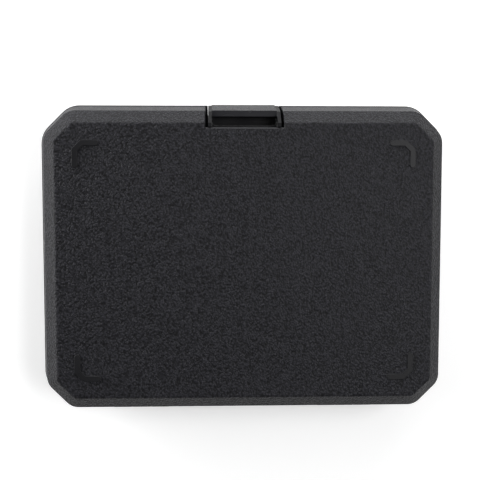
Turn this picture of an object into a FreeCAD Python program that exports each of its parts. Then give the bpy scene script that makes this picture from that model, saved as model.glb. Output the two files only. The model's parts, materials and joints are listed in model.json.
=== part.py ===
"""Hard carrying case: two moulded shells, a snap latch, hinge and latch pins, and foam inserts.

Millimetres. The case lies flat on its base: +Z is up, +X runs along its width, the latch is at the
front (-Y) and the hinge at the back (+Y). The origin is the middle of the case, on the plane that it
stands on.
"""

import FreeCAD, Part
import math
import os

from FreeCAD import Vector

# Outline of the rim, where the two halves meet
case_width = 240.0
case_depth = 181.8
corner_chamfer = 16.7  # length of the chamfer along each side
corner_radius = 14.0  # blends the chamfer into the sides
least_radius = 1.5

# Profile of one half, from the rim to its flat face
side_height = 16.9
side_draft = 4.1  # how far the side wall leans in over its height
bevel_height = 8.0
bevel_width = 7.5
shoulder_radius = 0.8  # between side wall and bevel
crease_radius = 2.0  # between bevel and face
rounding_steps = 3
wall = 2.5
seam_chamfer = 0.3  # on the lid's rim

# Ribs near the corners of both faces: the lower ones are the feet, the upper ones locate a stacked case
rib_height = 0.8
rib_width = 3.5
rib_draft = 0.25  # how far each side of a rib leans in over its height
rib_inset_x = 23.3  # from the rim outline to the middle of the rib
rib_inset_y = 23.0
rib_chamfer = 4.1
rib_leg_x = 7.8  # straight part of the leg along the width
rib_leg_y = 8.5  # and of the leg along the depth

# Rim joint: a flange and a tongue on the base, a groove in the lid
flange_proud = 0.4
flange_height = 1.6
flange_edge = 0.2
tongue_height = 1.6
tongue_thickness = 1.1
tongue_clearance = 0.3

# Hinges: moulded knuckles on a flat, set-back band along the back wall
hinge_pin_diameter = 2.0
knuckle_wall = 2.2
knuckle_length = 11.0
knuckle_edge = 0.3
hinge_spacing = 124.0  # between the middles of the two hinges
hinge_proud = 0.6  # knuckles beyond the rim outline
band_clearance = 0.15  # each half's band behind the hinge axis
knuckle_gap = 0.3  # between neighbouring knuckles, and round each in the other half
knuckle_root = 6.0  # height of the block that carries a knuckle
knuckle_count = 3
pin_fit = 0.02  # radial, where a pin is held
running_fit = 0.06  # radial, where a part turns on its pin
pin_end_depth = 1.0  # blind plastic left past each end of a hinge pin

# Latch recess in both halves
recess_width = 45.1
recess_depth = 8.2  # from the rim outline to the recess's wall, where the hook and barrel are
scoop_depth = 14.1  # the same, in the finger scoop of the lid
scoop_floor = 8.0  # above the rim
base_recess_height = 18.0  # below the rim
mouth_chamfer = 0.7  # on the lid's face, behind the finger scoop
recess_edge = 0.5  # chamfer on the side edges of the lid's recess
edge_overcut = 0.1  # how far the cut for that chamfer runs past both of its faces

# Latch
latch_side_gap = 1.65  # to each side wall of the lid's recess
base_side_gap = 0.35  # to each side wall of the base's recess, which is narrower
latch_flange = 2.0  # flange on each side of the proud, grained panel
latch_panel_height = 0.5  # panel above the flanges
latch_proud = 0.9  # panel beyond the case's own side wall, at the rim
latch_lean = 0.7  # how much further than that wall the panel leans in, up to the lip
latch_plate = 3.4  # thickness of plate and lip, panel included
latch_lip_height = 17.3  # above the rim
latch_edge = 0.4  # rounds the panel's edges
latch_cheek = 2.0
latch_back = 1.0  # back wall of the finger scoop
latch_back_drop = 6.5  # top of that wall below the lid's face
latch_floor = 1.5
latch_scoop_clearance = 0.3  # latch to the lid's recess, behind and below
latch_scoop_radius = 3.0
latch_pin_diameter = 2.0
latch_barrel_wall = 1.6
latch_pivot_drop = 12.0  # pin below the rim
latch_pivot_inset = 5.2  # pin behind the rim outline
latch_pin_grip = 4.0  # pin in each side wall of the base's recess

# Hook of the latch and catch of the lid
catch_bottom = 1.4  # above the rim
catch_height = 2.2
catch_reach = 3.2  # out of the recess's wall
catch_inset = 5.9  # from each side of the latch
catch_edge = 0.5
hook_clearance = 0.2
hook_height = 1.8
hook_overlap = 1.4  # hook over catch

# Foam
foam_clearance = 0.4  # to the walls
foam_pad_thickness = 4.0
foam_top_gap = 1.0  # insert below the rim
lid_foam_thickness = 14.0
pocket_radius = 2.5

# Pockets in the base foam: centre x, centre y, width, depth
pockets = {
    "instrument": (-47.0, 29.0, 110.0, 88.0),
    "leads": (61.0, 29.0, 82.0, 88.0),
    "tool_back": (-47.0, -38.0, 110.0, 16.0),
    "tool_front": (-47.0, -62.0, 110.0, 16.0),
    "adapter": (61.0, -50.0, 82.0, 40.0),
}

# Round finger wells in the base foam: centre x, centre y, diameter
finger_wells = {
    "instrument": (-47.0, -15.0, 20.0),
    "leads": (61.0, -15.0, 20.0),
    "tools": (-47.0, -50.0, 24.0),
}

# Derived places
half_height = side_height + bevel_height
rim_z = rib_height + half_height
top_z = rim_z + half_height
front_y = -case_depth / 2
far = case_width + case_depth

knuckle_radius = hinge_pin_diameter / 2 + knuckle_wall
hinge_y = case_depth / 2 + hinge_proud - knuckle_radius
band_y = hinge_y - band_clearance
hinge_length = knuckle_count * knuckle_length + (knuckle_count - 1) * knuckle_gap
hinge_centres = (-hinge_spacing / 2, hinge_spacing / 2)

recess_y = front_y + recess_depth
scoop_y = front_y + scoop_depth
latch_y = front_y + latch_pivot_inset
latch_z = rim_z - latch_pivot_drop
latch_width = recess_width - 2 * latch_side_gap
base_recess_width = latch_width + 2 * base_side_gap
catch_width = latch_width - 2 * catch_inset
barrel_radius = latch_pin_diameter / 2 + latch_barrel_wall
scoop_back = scoop_y - latch_scoop_clearance
scoop_bottom = scoop_floor + latch_scoop_clearance
crease_y = front_y + side_draft + bevel_width


def block(x0, x1, y0, y1, z0, z1):
    """A box between two corners."""
    return Part.makeBox(x1 - x0, y1 - y0, z1 - z0, Vector(x0, y0, z0))


def rod(radius, x0, x1, y, z):
    """A cylinder along X."""
    return Part.makeCylinder(radius, x1 - x0, Vector(x0, y, z), Vector(1, 0, 0))


def prism_x(points, x0, x1):
    """A closed outline of (y, z) points, pushed from x0 to x1."""
    corners = [Vector(x0, y, z) for y, z in points]
    face = Part.Face(Part.makePolygon(corners + corners[:1]))
    return face.extrude(Vector(x1 - x0, 0, 0))


def is_upright(edge):
    """Whether an edge runs along Z."""
    box = edge.BoundBox
    return box.ZLength > box.XLength + box.YLength


def outline(inset, z):
    """The chamfered outline of the rim, moved in by inset, as a wire of lines and arcs at height z."""
    half_x = case_width / 2 - inset
    half_y = case_depth / 2 - inset
    leg = corner_chamfer - inset * (2 - math.sqrt(2))
    radius = max(corner_radius - inset, least_radius)
    corners = []
    for sx, sy in ((1, 1), (-1, 1), (-1, -1), (1, -1)):
        pair = [Vector(sx * half_x, sy * (half_y - leg), z), Vector(sx * (half_x - leg), sy * half_y, z)]
        corners += pair if sx * sy > 0 else pair[::-1]
    half_turn = math.radians(22.5)
    arcs = []
    for i, corner in enumerate(corners):
        before = (corners[i - 1] - corner).normalize()
        after = (corners[(i + 1) % len(corners)] - corner).normalize()
        trim = radius * math.tan(half_turn)
        bulge = radius / math.cos(half_turn) - radius
        middle = corner + (before + after).normalize() * bulge
        arcs.append((corner + before * trim, middle, corner + after * trim))
    edges = []
    for i, (start, middle, end) in enumerate(arcs):
        edges.append(Part.Arc(start, middle, end).toShape())
        edges.append(Part.LineSegment(end, arcs[(i + 1) % len(arcs)][0]).toShape())
    return Part.Wire(edges)


def crossing(p, along_p, q, along_q):
    """Where two lines in the plane of the profile cross."""
    cross = along_p[0] * along_q[1] - along_p[1] * along_q[0]
    share = ((q[0] - p[0]) * along_q[1] - (q[1] - p[1]) * along_q[0]) / cross
    return (p[0] + share * along_p[0], p[1] + share * along_p[1])


def profile(depth, face_depth):
    """(inset, height) of one half's rim, shoulder and crease, at a depth below its outer skin."""
    side_length = math.hypot(side_draft, side_height)
    bevel_length = math.hypot(bevel_width, bevel_height)
    side = (side_draft / side_length, side_height / side_length)
    bevel = (bevel_width / bevel_length, bevel_height / bevel_length)
    on_side = (depth * side[1], -depth * side[0])
    on_bevel = (side_draft + depth * bevel[1], side_height - depth * bevel[0])
    level = (1.0, 0.0)
    rim = crossing(on_side, side, (0.0, 0.0), level)
    shoulder = crossing(on_side, side, on_bevel, bevel)
    crease = crossing(on_bevel, bevel, (0.0, half_height - face_depth), level)
    return [rim, shoulder, crease]


def arc_steps(before, corner, after, radius):
    """Points round an arc that blends two straight stretches of a profile."""
    into = math.atan2(corner[1] - before[1], corner[0] - before[0])
    out = math.atan2(after[1] - corner[1], after[0] - corner[0])
    turn = into - out
    trim = radius * math.tan(turn / 2)
    centre_inset = corner[0] - trim * math.cos(into) + radius * math.sin(into)
    centre_height = corner[1] - trim * math.sin(into) - radius * math.cos(into)
    points = []
    for step in range(rounding_steps + 1):
        angle = into - turn * step / rounding_steps
        points.append((centre_inset - radius * math.sin(angle), centre_height + radius * math.cos(angle)))
    return points


def skin(rim_edge):
    """The outer profile of one half: its rim edge, then a rounded shoulder and a rounded crease."""
    rim, shoulder, crease = profile(0.0, 0.0)
    face = (crease[0] + bevel_width, crease[1])
    rounded_shoulder = arc_steps(rim, shoulder, crease, shoulder_radius)
    rounded_crease = arc_steps(shoulder, crease, face, crease_radius)
    return rim_edge + rounded_shoulder + rounded_crease


def half_solid(points, up):
    """A solid through the outlines of a profile, above the rim plane for the lid or below for the base."""
    sections = [outline(inset, rim_z + up * height) for inset, height in points]
    return Part.makeLoft(sections, True, True)


def room(solid, inset, up, width=recess_width):
    """Takes the hinge band and the latch recess, both grown by inset, out of a solid."""
    solid = solid.cut(block(-far, far, band_y - inset, far, -far, far))
    half = width / 2 + inset
    if up > 0:
        solid = solid.cut(block(-half, half, -far, recess_y + inset, -far, far))
        return solid.cut(block(-half, half, -far, scoop_y + inset, rim_z + scoop_floor - inset, far))
    floor = rim_z - base_recess_height - inset
    return solid.cut(block(-half, half, -far, recess_y + inset, floor, far))


def rim_ring(outer, inner, z0, z1):
    """A ring that follows the rim between two insets."""
    solids = []
    for inset in (outer, inner):
        filled = Part.Face(outline(inset, z0)).extrude(Vector(0, 0, z1 - z0))
        solids.append(room(filled, inset, -1))
    return solids[0].cut(solids[1])


def ribs(z_root, z_face, up):
    """Four L-shaped ribs, each three legs with round ends, that lean in away from the face."""
    corner_x = case_width / 2 - rib_inset_x
    corner_y = case_depth / 2 - rib_inset_y
    path = [
        (corner_x - rib_chamfer - rib_leg_x, corner_y),
        (corner_x - rib_chamfer, corner_y),
        (corner_x, corner_y - rib_chamfer),
        (corner_x, corner_y - rib_chamfer - rib_leg_y),
    ]
    wide = rib_width / 2
    narrow = wide - rib_draft
    tip = Vector(0, 0, up * rib_height)
    root = Vector(0, 0, z_root - z_face)
    pieces = []
    for sx in (-1, 1):
        for sy in (-1, 1):
            points = [Vector(sx * x, sy * y, z_face) for x, y in path]
            for a, b in zip(points, points[1:]):
                across = (b - a).cross(Vector(0, 0, 1)).normalize()
                wires = []
                for lift, half in ((root, wide), (Vector(0, 0, 0), wide), (tip, narrow)):
                    side = across * half
                    corners = [a + side + lift, b + side + lift, b - side + lift, a - side + lift]
                    wires.append(Part.makePolygon(corners + corners[:1]))
                pieces.append(Part.makeLoft(wires, True, True))
            for point in points:
                pieces.append(Part.makeCylinder(wide, abs(root.z), point, Vector(0, 0, -up)))
                pieces.append(Part.makeCone(wide, narrow, rib_height, point, Vector(0, 0, up)))
    return pieces


def knuckle_spans(centre_x, of_base):
    """The X spans of one hinge's knuckles: the outer ones are the base's and the inner one the lid's."""
    start = centre_x - hinge_length / 2
    step = knuckle_length + knuckle_gap
    first = 0 if of_base else 1
    return [(start + i * step, start + i * step + knuckle_length) for i in range(first, knuckle_count, 2)]


def knuckle(x0, x1):
    """One barrel of a hinge, with its ends' edges broken."""
    barrel = rod(knuckle_radius, x0, x1, hinge_y, rim_z)
    ends = [edge for edge in barrel.Edges if edge.BoundBox.XLength < knuckle_edge]
    return barrel.makeChamfer(knuckle_edge, ends)


def add_hinges(shell, of_base):
    """Knuckles with their root blocks, and the notches that clear the other half's knuckles."""
    clear = knuckle_radius + knuckle_gap
    z0, z1 = (rim_z - knuckle_root, rim_z) if of_base else (rim_z, rim_z + knuckle_root)
    for centre in hinge_centres:
        for x0, x1 in knuckle_spans(centre, not of_base):
            shell = shell.cut(rod(clear, x0 - knuckle_gap, x1 + knuckle_gap, hinge_y, rim_z))
        for x0, x1 in knuckle_spans(centre, of_base):
            shell = shell.fuse([knuckle(x0, x1), block(x0, x1, hinge_y - knuckle_radius, band_y, z0, z1)])
        bore = hinge_pin_diameter / 2 + (pin_fit if of_base else running_fit)
        reach = hinge_length / 2 - pin_end_depth
        shell = shell.cut(rod(bore, centre - reach, centre + reach, hinge_y, rim_z))
    return shell


def hinge_zones():
    """The stretches of rim at the hinges, where there is no tongue."""
    front = hinge_y - knuckle_radius - knuckle_gap
    half = hinge_length / 2 + knuckle_gap
    z1 = rim_z + tongue_height
    return [block(centre - half, centre + half, front, far, rim_z, z1) for centre in hinge_centres]


def hinge_pin(centre):
    """A steel pin through one hinge's knuckles."""
    half = hinge_length / 2 - pin_end_depth - pin_fit
    return rod(hinge_pin_diameter / 2, centre - half, centre + half, hinge_y, rim_z)


def make_hinge_pin_left():
    return hinge_pin(hinge_centres[0])


def make_hinge_pin_right():
    return hinge_pin(hinge_centres[1])


def make_base_shell():
    """The lower half: shell, feet, rim flange, tongue, hinge knuckles and latch recess."""
    under_flange = side_draft * flange_height / side_height
    rim_edge = [
        (flange_edge - flange_proud, 0.0),
        (-flange_proud, flange_edge),
        (-flange_proud, flange_height - flange_edge),
        (under_flange, flange_height),
    ]
    outer = half_solid(skin(rim_edge), -1)
    inner = half_solid(profile(wall, wall), -1)
    shell = room(outer, 0.0, -1, base_recess_width).cut(room(inner, wall, -1))
    tongue = rim_ring(wall - tongue_thickness, wall, rim_z - wall, rim_z + tongue_height)
    shell = shell.fuse([tongue.cut(hinge_zones())] + ribs(rib_height + wall / 2, rib_height, -1))
    shell = shell.fuse(latch_bosses(outer))
    grip = base_recess_width / 2 + latch_pin_grip
    shell = shell.cut(rod(latch_pin_diameter / 2 + pin_fit, -grip, grip, latch_y, latch_z))
    return add_hinges(shell, True).removeSplitter()


def latch_bosses(outer):
    """Bosses behind the recess's side walls, which hold the ends of the latch pin."""
    near = base_recess_width / 2
    end = near + latch_pin_grip + pin_end_depth
    return [rod(barrel_radius, x0, x1, latch_y, latch_z).common(outer) for x0, x1 in ((-end, -near), (near, end))]


def make_latch_pin():
    """The steel pin across the base's latch recess."""
    half = base_recess_width / 2 + latch_pin_grip - pin_fit
    return rod(latch_pin_diameter / 2, -half, half, latch_y, latch_z)


def make_lid_shell():
    """The upper half: shell, stacking ribs, groove, hinge knuckles, latch recess and catch."""
    seam_lean = side_draft * seam_chamfer / side_height
    rim_edge = [(seam_chamfer, 0.0), (seam_lean, seam_chamfer)]
    outer = half_solid(skin(rim_edge), 1)
    inner = half_solid(profile(wall, wall), 1)
    shell = room(outer, 0.0, 1).cut(room(inner, wall, 1))
    gap = tongue_clearance
    groove = rim_ring(wall - tongue_thickness - gap, wall + tongue_thickness,
                      rim_z - tongue_height, rim_z + tongue_height + gap)
    shell = shell.cut([groove, mouth_cut()] + side_cuts())
    shell = shell.fuse(ribs(top_z - wall / 2, top_z, 1) + [catch()])
    return add_hinges(shell, False).removeSplitter()


def mouth_cut():
    """A wedge that breaks the edge of the face behind the finger scoop."""
    half = recess_width / 2
    points = [(scoop_y, top_z - mouth_chamfer), (scoop_y + mouth_chamfer, top_z), (scoop_y, top_z)]
    return prism_x(points, -half, half)


def side_cuts():
    """Two wedges that break the side edges of the lid's recess, along its side wall, bevel and face."""
    half = recess_width / 2
    cuts = []
    for side in (-1, 1):
        wires = []
        for depth in (recess_edge + edge_overcut, -edge_overcut):
            points = profile(depth, depth) + [(scoop_depth + mouth_chamfer, half_height - depth)]
            points += [(far, far), (-far, far), (-far, 0.0)]
            x = side * (half + recess_edge - depth)
            corners = [Vector(x, front_y + inset, rim_z + height) for inset, height in points]
            wires.append(Part.makePolygon(corners + corners[:1]))
        cuts.append(Part.makeLoft(wires, True, True))
    return cuts


def catch():
    """The ledge in the lid's recess that the latch's hook holds."""
    z0 = rim_z + catch_bottom
    z1 = z0 + catch_height
    nose = recess_y - catch_reach
    root = recess_y + (wall - tongue_thickness - tongue_clearance) / 2
    points = [(nose, z1), (root, z1), (root, z0), (nose + catch_edge, z0), (nose, z0 + catch_edge)]
    return prism_x(points, -catch_width / 2, catch_width / 2)


def wall_line(height, proud):
    """The Y of the front side wall at a height above or below the rim, moved out by proud."""
    return front_y - proud + side_draft * abs(height) / side_height


def latch_line(height, proud):
    """The Y of the latch's skin: it follows the side walls, and leans in further from the rim to the lip."""
    return wall_line(height, proud) + latch_lean * max(height, 0.0) / latch_lip_height


def plate(proud, thickness, half):
    """A plate that follows the side walls of both halves, from the hinge pin to the lip."""
    heights = (-latch_pivot_drop, 0.0, latch_lip_height)
    outer = [(latch_line(height, proud), rim_z + height) for height in heights]
    inner = [(y + thickness, z) for y, z in outer[::-1]]
    return prism_x(outer + inner, -half, half)


def is_outer(edge, proud):
    """Whether an edge lies on the outer skin of a plate."""
    box = edge.BoundBox
    height = (box.ZMin + box.ZMax) / 2 - rim_z
    y = (box.YMin + box.YMax) / 2
    return abs(y - latch_line(height, proud)) < latch_edge / 2


def make_latch():
    """Plate, proud panel, barrel, hook, and the finger scoop with its cheeks."""
    half = latch_width / 2
    flange = plate(latch_proud - latch_panel_height, latch_plate - latch_panel_height, half)
    panel = plate(latch_proud, latch_plate, half - latch_flange)
    panel = panel.makeFillet(latch_edge, [edge for edge in panel.Edges if is_outer(edge, latch_proud)])
    barrel = rod(barrel_radius, -half, half, latch_y, latch_z)
    body = flange.fuse([panel, barrel, scoop_block(half)]).cut(scoop_space(half))
    hook_y = recess_y - catch_reach + hook_overlap
    hook_z = rim_z + catch_bottom + catch_height + hook_clearance
    hook_root = latch_line(0.0, latch_proud) + latch_plate / 2
    hook = block(-catch_width / 2, catch_width / 2, hook_root, hook_y, hook_z, hook_z + hook_height)
    bore = rod(latch_pin_diameter / 2 + running_fit, -half, half, latch_y, latch_z)
    return body.fuse(hook).cut(bore).removeSplitter()


def scoop_block(half):
    """The block that the finger scoop is cut into: its cheeks follow the lid's bevel."""
    lip_z = rim_z + latch_lip_height
    bevel_y = crease_y - (top_z - lip_z) * bevel_width / bevel_height
    flange_y = latch_line(latch_lip_height, latch_proud - latch_panel_height)
    floor_y = latch_line(scoop_bottom, latch_proud) + latch_plate / 2
    points = [
        (max(bevel_y, flange_y), lip_z),
        (crease_y, top_z),
        (scoop_back, top_z),
        (scoop_back, rim_z + scoop_bottom),
        (floor_y, rim_z + scoop_bottom),
    ]
    return prism_x(points, -half, half)


def scoop_space(half):
    """The finger scoop, open upward, with rounded inner corners, and the air over its lip and back wall."""
    inner = half - latch_cheek
    y0 = latch_line(latch_lip_height, latch_proud) + latch_plate
    y1 = scoop_back - latch_back
    above = top_z + rib_height
    space = block(-inner, inner, y0, y1, rim_z + scoop_bottom + latch_floor, above)
    corners = [edge for edge in space.Edges if is_upright(edge) and edge.BoundBox.YMin > (y0 + y1) / 2]
    space = space.makeFillet(latch_scoop_radius, corners)
    over_lip = block(-inner, inner, front_y, (y0 + y1) / 2, rim_z + latch_lip_height, above)
    over_back = block(-inner, inner, (y0 + y1) / 2, scoop_y, top_z - latch_back_drop, above)
    return space.fuse([over_lip, over_back])


def foam_block(low, high, up):
    """Foam that fills the inside between two heights from the rim, clear of hinges and pin bosses."""
    depth = wall + foam_clearance
    inside = room(half_solid(profile(depth, wall), up), depth, up)
    notch = base_recess_width / 2 + latch_pin_grip + pin_end_depth + foam_clearance
    inside = inside.cut(block(-notch, notch, -far, recess_y + depth, -far, rim_z))
    back_y = hinge_y - knuckle_radius - foam_clearance
    z0, z1 = sorted((rim_z + up * low, rim_z + up * high))
    return inside.common(block(-far, far, -far, back_y, z0, z1))


def make_base_foam_pad():
    """The thin sheet on the base's floor."""
    floor = half_height - wall
    return foam_block(floor - foam_pad_thickness, floor, -1)


def make_base_foam_insert():
    """The block with the pockets, which are cut right through it to the pad."""
    low = half_height - wall - foam_pad_thickness
    solid = foam_block(foam_top_gap, low, -1)
    z0 = rim_z - half_height
    for x, y, width, depth in pockets.values():
        pocket = block(x - width / 2, x + width / 2, y - depth / 2, y + depth / 2, z0, rim_z)
        solid = solid.cut(pocket.makeFillet(pocket_radius, [edge for edge in pocket.Edges if is_upright(edge)]))
    for x, y, diameter in finger_wells.values():
        solid = solid.cut(Part.makeCylinder(diameter / 2, rim_z - z0, Vector(x, y, z0)))
    return solid


def make_lid_foam():
    """The block of convoluted foam in the lid, down to its peaks."""
    top = half_height - wall
    return foam_block(top - lid_foam_thickness, top, 1)


nodes = {
    "base_shell": make_base_shell,
    "lid_shell": make_lid_shell,
    "latch": make_latch,
    "latch_pin": make_latch_pin,
    "hinge_pin_left": make_hinge_pin_left,
    "hinge_pin_right": make_hinge_pin_right,
    "base_foam_pad": make_base_foam_pad,
    "base_foam_insert": make_base_foam_insert,
    "lid_foam": make_lid_foam,
}

os.makedirs("parts", exist_ok=True)
for name, make in nodes.items():
    shape = make()
    print(name, "solids", len(shape.Solids), "valid", shape.isValid(), "volume", round(shape.Volume, 1))
    shape.exportStep("parts/" + name + ".step")
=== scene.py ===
import json
import math

import bpy
from mathutils import Matrix, Vector, noise


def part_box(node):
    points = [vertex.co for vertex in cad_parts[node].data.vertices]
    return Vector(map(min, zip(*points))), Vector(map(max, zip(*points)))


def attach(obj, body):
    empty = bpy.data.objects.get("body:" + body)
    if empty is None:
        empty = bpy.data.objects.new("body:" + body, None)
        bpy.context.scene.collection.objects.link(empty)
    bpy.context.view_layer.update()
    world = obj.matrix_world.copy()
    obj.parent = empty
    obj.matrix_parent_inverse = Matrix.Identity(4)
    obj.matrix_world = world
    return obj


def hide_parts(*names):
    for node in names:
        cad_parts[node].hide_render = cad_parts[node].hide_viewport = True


MM = 0.001

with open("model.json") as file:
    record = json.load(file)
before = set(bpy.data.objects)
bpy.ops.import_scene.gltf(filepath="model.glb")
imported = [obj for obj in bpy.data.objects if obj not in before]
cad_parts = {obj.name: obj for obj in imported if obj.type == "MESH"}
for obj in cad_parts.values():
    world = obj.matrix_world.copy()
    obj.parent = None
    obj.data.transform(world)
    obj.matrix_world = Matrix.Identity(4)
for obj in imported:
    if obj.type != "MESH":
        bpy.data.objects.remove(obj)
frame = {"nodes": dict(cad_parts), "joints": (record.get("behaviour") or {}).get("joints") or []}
bpy.context.view_layer.update()
nodes = frame["nodes"]
joints = {joint["name"]: joint for joint in frame["joints"]}

# The moulded skin of each half, from the rim up or down to its flat face
side_height = 16.9 * MM
side_draft = 4.1 * MM
bevel_height = 8.0 * MM
bevel_width = 7.5 * MM
corner_chamfer = 16.7 * MM
seam_lean = 0.07 * MM  # the lid's rim edge is broken, which leaves its box this much smaller
skin_tolerance = 1.4 * MM  # the rounded corners lie this far inside the sharp outline
face_tolerance = 0.05 * MM
least_draft = 0.15  # the least upward lean of a drafted outer wall's normal

rim_z = joints["lid_hinge"]["pos_m"][2]
lid_low, lid_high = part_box("lid_shell")
half_width = lid_high.x + seam_lean
half_depth = -lid_low.y + seam_lean
half_height = side_height + bevel_height

# Latch
latch_half_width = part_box("latch")[1].x
latch_flange = 2.0 * MM  # from the latch's side to its proud panel
latch_cheek = 2.0 * MM  # thickness of the scoop's side walls
latch_proud = 0.9 * MM  # panel beyond the rim outline
latch_lean = 0.7 * MM
latch_plate = 3.4 * MM
latch_lip_height = 17.3 * MM  # above the rim
scoop_floor = 9.0 * MM  # above the rim
panel_facing = -0.8  # a normal of the panel's front points at least this far towards -Y

# Foams
insert_voxel = 1.3 * MM
pad_voxel = 2.0 * MM
convoluted_voxel = 1.6 * MM
egg_crate_pitch = 17.0 * MM
egg_crate_depth = 8.0 * MM
cut_wander = 0.35 * MM  # how far a cut foam surface wanders inward
insert_wander = 6 * MM  # length of its waves on the thick block
pad_wander = 9 * MM  # and on the thin sheet

# Textures, by their real size
grain_cell = 1.15 * MM  # a pebble of the etched grain
grain_stretch = (1.2, 0.9, 1.0)  # the pebbles are longer along the case's depth
grain_height = 0.4 * MM  # drawn higher than the etched 0.1 mm, to show from half a metre
mould_edge = 0.35 * MM  # radius that a mould leaves on every edge
mould_polish = 0.35 * MM  # marks of the mould's polishing
polish_depth = 0.02 * MM
melt_flow = 25 * MM  # patches where the melt ran and cooled unevenly
grind_ring = 0.08 * MM
grind_depth = 0.01 * MM
oil_film = 3 * MM
foam_cell = 0.9 * MM  # twice the real cell, to show
foam_pit = 0.25 * MM
foam_patch = 18 * MM  # patches of slightly darker foam
paper_fibre = 2 * MM

polypropylene_ior = 1.49

# Camera, found from the outline of the case in the picture
sensor_width = 36.0
camera_lens = 60.3
camera_place = Vector((0.01782, -0.04501, 0.51157))
camera_tilt = 0.0705
camera_pan = 0.0327

# Studio: the paper's glow is what the camera sees on top of the lamps' light
floor_reach = 6.0
lit_reach = 0.5  # the lamps light the paper fully out to here
unlit_reach = 1.3  # and hardly from here on
paper_lift = 0.34
far_paper_lift = 0.85
wall_glow = 0.9
wall_foot = 0.05  # upward lean of a ray at which the wall starts to fade
wall_top = 0.4  # and at which it has faded
ceiling_glow = 0.05

# Softboxes that face the case: place in metres, width, depth, and power in watts
softboxes = {
    "front_softbox": ((0.0, -1.1, 0.35), 1.4, 0.6, 11.2),
    "left_softbox": ((1.05, -0.35, 0.4), 1.0, 0.6, 14.9),
    "right_softbox": ((-0.55, -0.08, 0.9), 0.7, 0.5, 7.0),
}


def colour(code):
    """An sRGB hex value as linear RGBA."""
    parts = [int(code[i:i + 2], 16) / 255 for i in (1, 3, 5)]
    return [c / 12.92 if c <= 0.04045 else ((c + 0.055) / 1.055) ** 2.4 for c in parts] + [1.0]


def add(tree, kind, inputs, **settings):
    """Adds a shader node with its settings. An input is a plain value or another node's output."""
    made = tree.nodes.new("ShaderNode" + kind)
    for name, value in settings.items():
        setattr(made, name, value)
    for name, value in inputs.items():
        if isinstance(value, bpy.types.NodeSocket):
            tree.links.new(value, made.inputs[name])
        else:
            made.inputs[name].default_value = value
    return made


def new_material(name):
    """An empty node material with its tree and its object coordinates, in metres."""
    made = bpy.data.materials.new(name)
    made.use_nodes = True
    made.node_tree.nodes.clear()
    place = add(made.node_tree, "TexCoord", {}).outputs["Object"]
    return made, made.node_tree, place


def grained_polypropylene():
    """Polypropylene from an etched mould: matte pebbles with a soft sheen, parted by valleys."""
    made, tree, place = new_material("grained_polypropylene")
    place = add(tree, "Mapping", {"Vector": place, "Scale": grain_stretch}).outputs[0]

    # The pattern is bent by a coarse noise, so that no two pebbles are alike
    drift = add(tree, "TexNoise", {"Vector": place, "Scale": 0.8 / grain_cell, "Detail": 1.0})
    offset = add(tree, "VectorMath", {0: drift.outputs["Color"], 1: (0.5, 0.5, 0.5)},
                 operation="SUBTRACT").outputs[0]
    push = add(tree, "VectorMath", {0: offset, "Scale": 0.8 * grain_cell},
               operation="SCALE").outputs[0]
    bent = add(tree, "VectorMath", {0: place, 1: push}, operation="ADD").outputs[0]

    pebbles = add(tree, "TexVoronoi", {"Vector": bent, "Scale": 1 / grain_cell, "Smoothness": 0.4},
                  feature="SMOOTH_F1").outputs["Distance"]
    wrinkles = add(tree, "TexNoise", {"Vector": bent, "Scale": 0.9 / grain_cell,
                                      "Detail": 2.0}).outputs["Fac"]
    dome = add(tree, "MapRange", {"Value": pebbles, "From Min": 0.1, "From Max": 0.7,
                                  "To Min": 0.6, "To Max": 0.0}).outputs[0]
    fold = add(tree, "MapRange", {"Value": wrinkles, "From Min": 0.3, "From Max": 0.7,
                                  "To Max": 0.4}).outputs[0]
    height = add(tree, "Math", {0: dome, 1: fold}, operation="ADD").outputs[0]

    # Painted shade: the valleys are painted darker and the pebbles' tops lighter, and the tops are
    # also a little smoother
    valley, top = 0.1, 0.9
    tone = add(tree, "ValToRGB", {"Fac": height})
    tone.color_ramp.elements[0].position = valley
    tone.color_ramp.elements[0].color = colour("#0f0f11")
    tone.color_ramp.elements[1].position = top
    tone.color_ramp.elements[1].color = colour("#303035")
    rough = add(tree, "MapRange", {"Value": height, "From Min": valley, "From Max": top,
                                   "To Min": 0.5, "To Max": 0.38}).outputs[0]
    edge = add(tree, "Bevel", {"Radius": mould_edge}, samples=6).outputs[0]
    bump = add(tree, "Bump", {"Height": height, "Strength": 1.0, "Distance": grain_height,
                              "Normal": edge}).outputs[0]
    shader = add(tree, "BsdfPrincipled", {
        "Base Color": tone.outputs["Color"], "Roughness": rough, "Normal": bump,
        "IOR": polypropylene_ior, "Specular IOR Level": 0.16}).outputs[0]
    add(tree, "OutputMaterial", {"Surface": shader})
    return made


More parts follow.
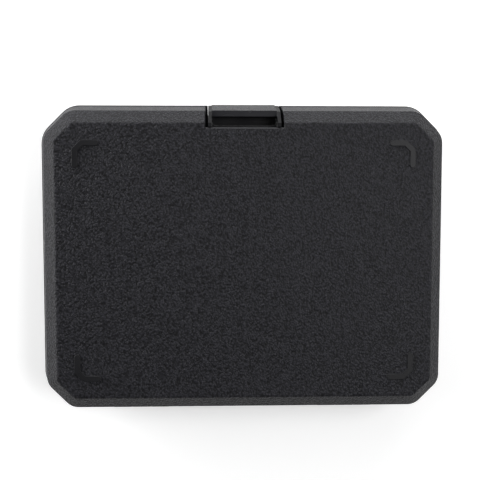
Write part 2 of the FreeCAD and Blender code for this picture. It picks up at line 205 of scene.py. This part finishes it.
def smooth_polypropylene(name, tint, roughness, gloss):
    """Polypropylene from a plain mould face: an even satin with faint polishing marks."""
    made, tree, place = new_material(name)
    marks = add(tree, "TexNoise", {"Vector": place, "Scale": 1 / mould_polish,
                                   "Detail": 3.0}).outputs["Fac"]
    flow = add(tree, "TexNoise", {"Vector": place, "Scale": 1 / melt_flow,
                                  "Detail": 2.0}).outputs["Fac"]

    # The melt's flow varies the tone and the gloss by very little
    least, most, spread = 0.3, 0.7, 0.05
    tone = add(tree, "ValToRGB", {"Fac": flow})
    tone.color_ramp.elements[0].position = least
    tone.color_ramp.elements[0].color = colour(tint[0])
    tone.color_ramp.elements[1].position = most
    tone.color_ramp.elements[1].color = colour(tint[1])
    rough = add(tree, "MapRange", {"Value": flow, "From Min": least, "From Max": most,
                                   "To Min": roughness - spread,
                                   "To Max": roughness + spread}).outputs[0]
    edge = add(tree, "Bevel", {"Radius": mould_edge}, samples=6).outputs[0]
    bump = add(tree, "Bump", {"Height": marks, "Strength": 0.25, "Distance": polish_depth,
                              "Normal": edge}).outputs[0]
    shader = add(tree, "BsdfPrincipled", {
        "Base Color": tone.outputs["Color"], "Roughness": rough, "Normal": bump,
        "IOR": polypropylene_ior, "Specular IOR Level": gloss}).outputs[0]
    add(tree, "OutputMaterial", {"Surface": shader})
    return made


def ground_steel():
    """Centreless-ground steel wire: bright, with fine rings round the pin and a film of oil."""
    made, tree, place = new_material("ground_steel")
    along = add(tree, "Mapping", {"Vector": place, "Scale": (1.0, 0.02, 0.02)}).outputs[0]
    rings = add(tree, "TexNoise", {"Vector": along, "Scale": 1 / grind_ring,
                                   "Detail": 4.0}).outputs["Fac"]
    film = add(tree, "TexNoise", {"Vector": place, "Scale": 1 / oil_film,
                                  "Detail": 2.0}).outputs["Fac"]
    tone = add(tree, "ValToRGB", {"Fac": film})
    tone.color_ramp.elements[0].color = colour("#a8a9ac")
    tone.color_ramp.elements[1].color = colour("#c9cacc")
    rough = add(tree, "MapRange", {"Value": rings, "To Min": 0.22, "To Max": 0.42}).outputs[0]
    bump = add(tree, "Bump", {"Height": rings, "Strength": 0.3,
                              "Distance": grind_depth}).outputs[0]
    shader = add(tree, "BsdfPrincipled", {
        "Base Color": tone.outputs["Color"], "Metallic": 1.0, "Roughness": rough,
        "Normal": bump}).outputs[0]
    add(tree, "OutputMaterial", {"Surface": shader})
    return made


def polyurethane_foam(name, dark, light):
    """Open-cell polyurethane foam: dead matte, and pitted with cut cells whose shade is painted
    darker.
    """
    made, tree, place = new_material(name)
    cells = add(tree, "TexVoronoi", {"Vector": place, "Scale": 1 / foam_cell,
                                     "Randomness": 1.0}).outputs["Distance"]
    patches = add(tree, "TexNoise", {"Vector": place, "Scale": 1 / foam_patch,
                                     "Detail": 3.0}).outputs["Fac"]
    pits = add(tree, "MapRange", {"Value": cells, "From Min": 0.1, "From Max": 0.7}).outputs[0]
    # The pits are painted darker as painted shade; the patches are the foam's own uneven tone
    shade = add(tree, "Math", {0: patches, 1: 0.35, 2: pits}, operation="MULTIPLY_ADD").outputs[0]
    tone = add(tree, "ValToRGB", {"Fac": shade})
    tone.color_ramp.elements[0].position = 0.15
    tone.color_ramp.elements[0].color = colour(dark)
    tone.color_ramp.elements[1].color = colour(light)
    bump = add(tree, "Bump", {"Height": pits, "Strength": 1.0, "Distance": foam_pit}).outputs[0]
    shader = add(tree, "BsdfPrincipled", {
        "Base Color": tone.outputs["Color"], "Roughness": 0.95, "Normal": bump,
        "Specular IOR Level": 0.15, "Sheen Weight": 0.1, "Sheen Roughness": 0.6}).outputs[0]
    add(tree, "OutputMaterial", {"Surface": shader})
    return made


def seen_directly(tree):
    """1 for what the camera, gloss or glass sees, and 0 for light that falls on a surface."""
    path = add(tree, "LightPath", {}).outputs
    seen = add(tree, "Math", {0: path["Is Camera Ray"], 1: path["Is Glossy Ray"]},
               operation="MAXIMUM").outputs[0]
    return add(tree, "Math", {0: seen, 1: path["Is Transmission Ray"]},
               operation="MAXIMUM").outputs[0]


def studio_paper():
    """Matt white paper, seen lifted to white less the object's shadow, and more so far off."""
    made, tree, place = new_material("studio_paper")
    fibres = add(tree, "TexNoise", {"Vector": place, "Scale": 1 / paper_fibre,
                                    "Detail": 4.0}).outputs["Fac"]
    tone = add(tree, "ValToRGB", {"Fac": fibres})
    tone.color_ramp.elements[0].color = colour("#f2f2f2")
    tone.color_ramp.elements[1].color = colour("#f8f8f8")
    paper_white = add(tree, "BsdfDiffuse", {"Color": tone.outputs["Color"]}).outputs[0]
    reach = add(tree, "VectorMath", {0: place}, operation="LENGTH").outputs["Value"]
    level = add(tree, "MapRange", {"Value": reach, "From Min": lit_reach, "From Max": unlit_reach,
                                   "To Min": paper_lift, "To Max": far_paper_lift},
                interpolation_type="SMOOTHSTEP").outputs[0]
    lift = add(tree, "Math", {0: seen_directly(tree), 1: level}, operation="MULTIPLY").outputs[0]
    glow = add(tree, "Emission", {"Strength": lift}).outputs[0]
    both = add(tree, "AddShader", {0: paper_white, 1: glow}).outputs[0]
    add(tree, "OutputMaterial", {"Surface": both})
    return made


def outline_inset(point):
    """How far a point lies inside the rim's chamfered outline."""
    x, y = abs(point.x), abs(point.y)
    corner = (half_width + half_depth - corner_chamfer - x - y) / math.sqrt(2)
    return min(half_width - x, half_depth - y, corner)


def skin_inset(height):
    """How far the outer skin has leaned in at a height from the rim."""
    if height < side_height:
        return side_draft * height / side_height
    return side_draft + bevel_width * (height - side_height) / bevel_height


def on_skin(point, normal, up):
    """Whether a facet of a shell is part of its drafted, grained outside."""
    height = up * (point.z - rim_z)
    if up * normal.z < least_draft or height < 0.0 or height > half_height + face_tolerance:
        return False
    if height > half_height - face_tolerance:
        return True
    return abs(outline_inset(point) - skin_inset(height)) < skin_tolerance


def on_rib(point, up):
    """Whether a facet is part of a raised rib."""
    return up * (point.z - rim_z) > half_height + face_tolerance


def paint(node, finishes, choose):
    """Gives a node its finishes, and each facet the one that choose names."""
    mesh = nodes[node].data
    mesh.materials.clear()
    for finish in finishes:
        mesh.materials.append(finish)
    for facet in mesh.polygons:
        facet.material_index = choose(facet.center, facet.normal)


def paint_shell(node, up):
    """Grain outside, a plain satin inside, and smooth ribs."""
    def choose(point, normal):
        if on_skin(point, normal, up):
            return 0
        return 2 if on_rib(point, up) else 1

    paint(node, [grained, satin, rib_satin], choose)


def paint_latch():
    """Grain on the proud panel, a polished lip, a finger scoop glossy and painted darker as shade,
    and elsewhere a satin painted darker as shade.
    """
    panel_edge = latch_half_width - latch_flange
    inner = latch_half_width - latch_cheek
    lip_lean = side_draft * latch_lip_height / side_height + latch_lean
    lip_back = latch_plate - latch_proud - half_depth + lip_lean

    def choose(point, normal):
        height = point.z - rim_z
        on_front = normal.y < panel_facing and height > -half_height
        if on_front and abs(point.x) < panel_edge:
            return 0
        if abs(point.x) > inner + face_tolerance:
            return 1
        if point.y > lip_back - face_tolerance and height > scoop_floor:
            return 3
        return 2 if height > latch_lip_height - face_tolerance else 1

    paint("latch", [grained, latch_satin_painted_shade, lip_polish, scoop_gloss_painted_shade], choose)


def paint_pins():
    """One finish all over each pin."""
    for pin in ("latch_pin", "hinge_pin_left", "hinge_pin_right"):
        paint(pin, [steel], lambda point, normal: 0)


def evened(name, node, voxel):
    """A fine even mesh in a foam node's space, its cut edges worn round."""
    piece = bpy.data.objects.new(name, nodes[node].data.copy())
    bpy.context.scene.collection.objects.link(piece)
    remesh = piece.modifiers.new("even", "REMESH")
    remesh.mode = "VOXEL"
    remesh.voxel_size = voxel
    worn = piece.modifiers.new("worn", "SMOOTH")
    worn.factor = 0.5
    worn.iterations = 2
    graph = bpy.context.evaluated_depsgraph_get()
    piece.data = bpy.data.meshes.new_from_object(piece.evaluated_get(graph))
    piece.modifiers.clear()
    piece.data.shade_smooth()
    return piece


def wander(piece, length):
    """Moves a foam's surface inward by a soft uneven amount, as a knife leaves it."""
    normals = [vertex.normal.copy() for vertex in piece.data.vertices]
    for vertex, normal in zip(piece.data.vertices, normals):
        share = 0.5 + 0.5 * noise.noise(vertex.co / length)
        vertex.co -= normal * cut_wander * share


def dress_foam(piece, node, body, material):
    """Gives a foam its material and its body, and hides the solid that it stands for."""
    piece.data.materials.clear()
    piece.data.materials.append(material)
    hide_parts(node)
    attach(piece, body)


def make_base_foams():
    """The die-cut block with the pockets, and the thin sheet under it."""
    insert = evened("cut_foam_insert", "base_foam_insert", insert_voxel)
    wander(insert, insert_wander)
    dress_foam(insert, "base_foam_insert", "base", cut_foam)
    pad = evened("foam_pad_sheet", "base_foam_pad", pad_voxel)
    wander(pad, pad_wander)
    dress_foam(pad, "base_foam_pad", "base", cut_foam)


def make_convoluted_foam():
    """The lid's egg-crate foam: a block whose under side rises and falls in rounded peaks."""
    piece = evened("convoluted_foam", "lid_foam", convoluted_voxel)
    low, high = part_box("lid_foam")
    depth = high.z - low.z
    turns = 2 * math.pi / egg_crate_pitch
    for vertex in piece.data.vertices:
        x, y, z = vertex.co
        wave = math.cos(turns * x) + math.cos(turns * y)
        rise = egg_crate_depth * (2 - wave) / 4
        share = (z - low.z) / depth
        vertex.co.z = z + rise * (1 - share)
    dress_foam(piece, "lid_foam", "lid", convoluted)


def make_floor():
    """A broad sheet of studio paper under the case."""
    reach = floor_reach
    corners = [(-reach, -reach, 0), (reach, -reach, 0), (reach, reach, 0), (-reach, reach, 0)]
    mesh = bpy.data.meshes.new("studio_floor")
    mesh.from_pydata(corners, [], [(0, 1, 2, 3)])
    mesh.materials.append(paper)
    floor = bpy.data.objects.new("studio_floor", mesh)
    bpy.context.scene.collection.objects.link(floor)


def add_softbox(name, place, width, depth, power):
    """A soft area lamp that faces the case."""
    lamp = bpy.data.lights.new(name, "AREA")
    lamp.shape = "RECTANGLE"
    lamp.size = width
    lamp.size_y = depth
    lamp.energy = power
    made = bpy.data.objects.new(name, lamp)
    made.location = place
    made.rotation_euler = Vector(place).to_track_quat("Z", "Y").to_euler()
    bpy.context.scene.collection.objects.link(made)


def make_air():
    """The studio round the case: a white wall low down, and a dim ceiling that fills shadows."""
    air = bpy.data.worlds.new("studio_air")
    air.use_nodes = True
    tree = air.node_tree
    tree.nodes.clear()
    ray = add(tree, "TexCoord", {}).outputs["Generated"]
    rise = add(tree, "SeparateXYZ", {0: ray}).outputs["Z"]
    wall = add(tree, "MapRange", {"Value": rise, "From Min": wall_foot, "From Max": wall_top,
                                  "To Min": wall_glow, "To Max": 0.0},
               interpolation_type="SMOOTHSTEP").outputs[0]
    glow = add(tree, "Math", {0: wall, 1: seen_directly(tree), 2: ceiling_glow},
               operation="MULTIPLY_ADD").outputs[0]
    light = add(tree, "Background", {"Color": colour("#ffffff"), "Strength": glow}).outputs[0]
    add(tree, "OutputWorld", {"Surface": light})
    bpy.context.scene.world = air


def add_camera():
    """The photograph's view, from above the latch side, with the latch at the picture's top."""
    lens = bpy.data.cameras.new("camera")
    lens.sensor_width = sensor_width
    lens.lens = camera_lens
    made = bpy.data.objects.new("camera", lens)
    turn = Matrix.Rotation(math.pi, 4, "Z") @ Matrix.Rotation(-camera_pan, 4, "Y")
    turn = turn @ Matrix.Rotation(-camera_tilt, 4, "X")
    made.matrix_world = Matrix.Translation(camera_place) @ turn
    bpy.context.scene.collection.objects.link(made)
    bpy.context.scene.camera = made


add_camera()

grained = grained_polypropylene()
satin = smooth_polypropylene("satin_polypropylene", ("#1c1c1f", "#222225"), 0.45, 0.2)
rib_satin = smooth_polypropylene("rib_polypropylene", ("#1a1a1c", "#1e1e20"), 0.4, 0.18)
# A darker copy of the satin: painted shade on the latch's flanges, cheeks and sides
latch_satin_painted_shade = smooth_polypropylene("latch_polypropylene_painted_shade", ("#131315", "#171719"), 0.55, 0.11)
lip_polish = smooth_polypropylene("polished_polypropylene", ("#1f1f22", "#252528"), 0.25, 0.4)
# Glossy, and darker than the lip: painted shade in the deep finger scoop
scoop_gloss_painted_shade = smooth_polypropylene("glossy_polypropylene_painted_shade", ("#131315", "#171719"), 0.22, 0.4)
steel = ground_steel()
cut_foam = polyurethane_foam("cut_polyurethane_foam", "#141416", "#3a3a3e")
convoluted = polyurethane_foam("convoluted_polyurethane_foam", "#222225", "#4c4c52")
paper = studio_paper()

paint_shell("lid_shell", 1)
paint_shell("base_shell", -1)
paint_latch()
paint_pins()

make_base_foams()
make_convoluted_foam()
make_floor()

for name, (place, width, depth, power) in softboxes.items():
    add_softbox(name, place, width, depth, power)

make_air()

bpy.context.scene.view_settings.view_transform = "Standard"

bpy.context.view_layer.update()
